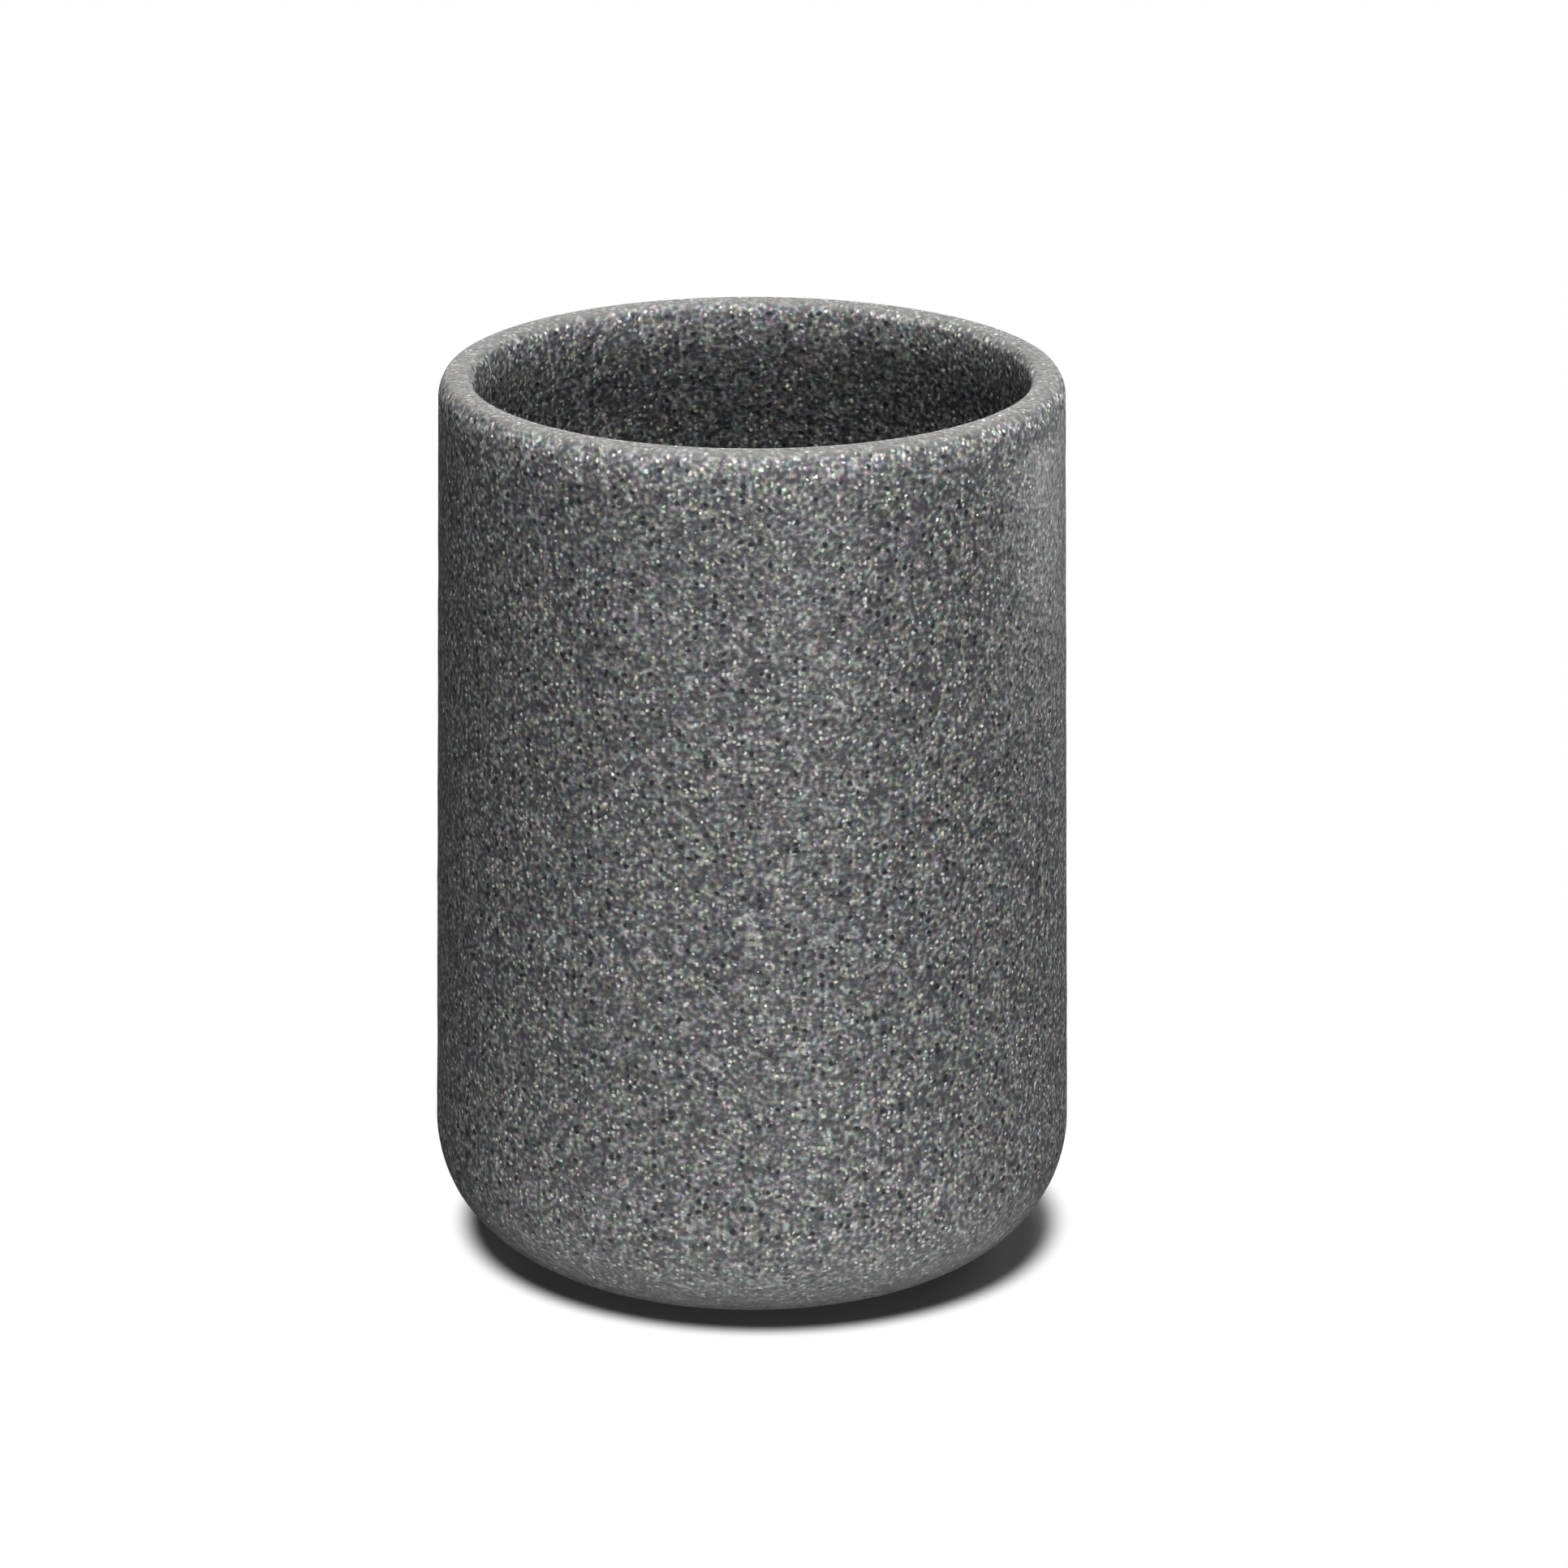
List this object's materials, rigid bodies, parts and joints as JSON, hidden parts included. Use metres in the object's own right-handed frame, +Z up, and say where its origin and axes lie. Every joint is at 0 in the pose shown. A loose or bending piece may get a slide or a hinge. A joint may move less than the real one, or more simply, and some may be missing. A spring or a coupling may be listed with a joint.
{
  "type": "bathroom tumbler",
  "caption": "Straight-sided round tumbler cast in stone-filled resin, open at the top, with a rounded heel and a thin foam pad underneath.",
  "frame": {"origin": "centre of the foam pad's underside, where the tumbler stands", "axes": "+Z up along the axis that every piece is turned about; X and Y are alike, because the tumbler is round"},
  "size_m": [0.075, 0.075, 0.1067],
  "materials": {
    "cast_stone": "matte",
    "adhesive_film": "satin",
    "foam": "matte"
  },
  "bodies": {
    "root": {"cup_body": "cast_stone", "pad_adhesive": "adhesive_film", "base_pad": "foam"}
  },
  "joints": []
}
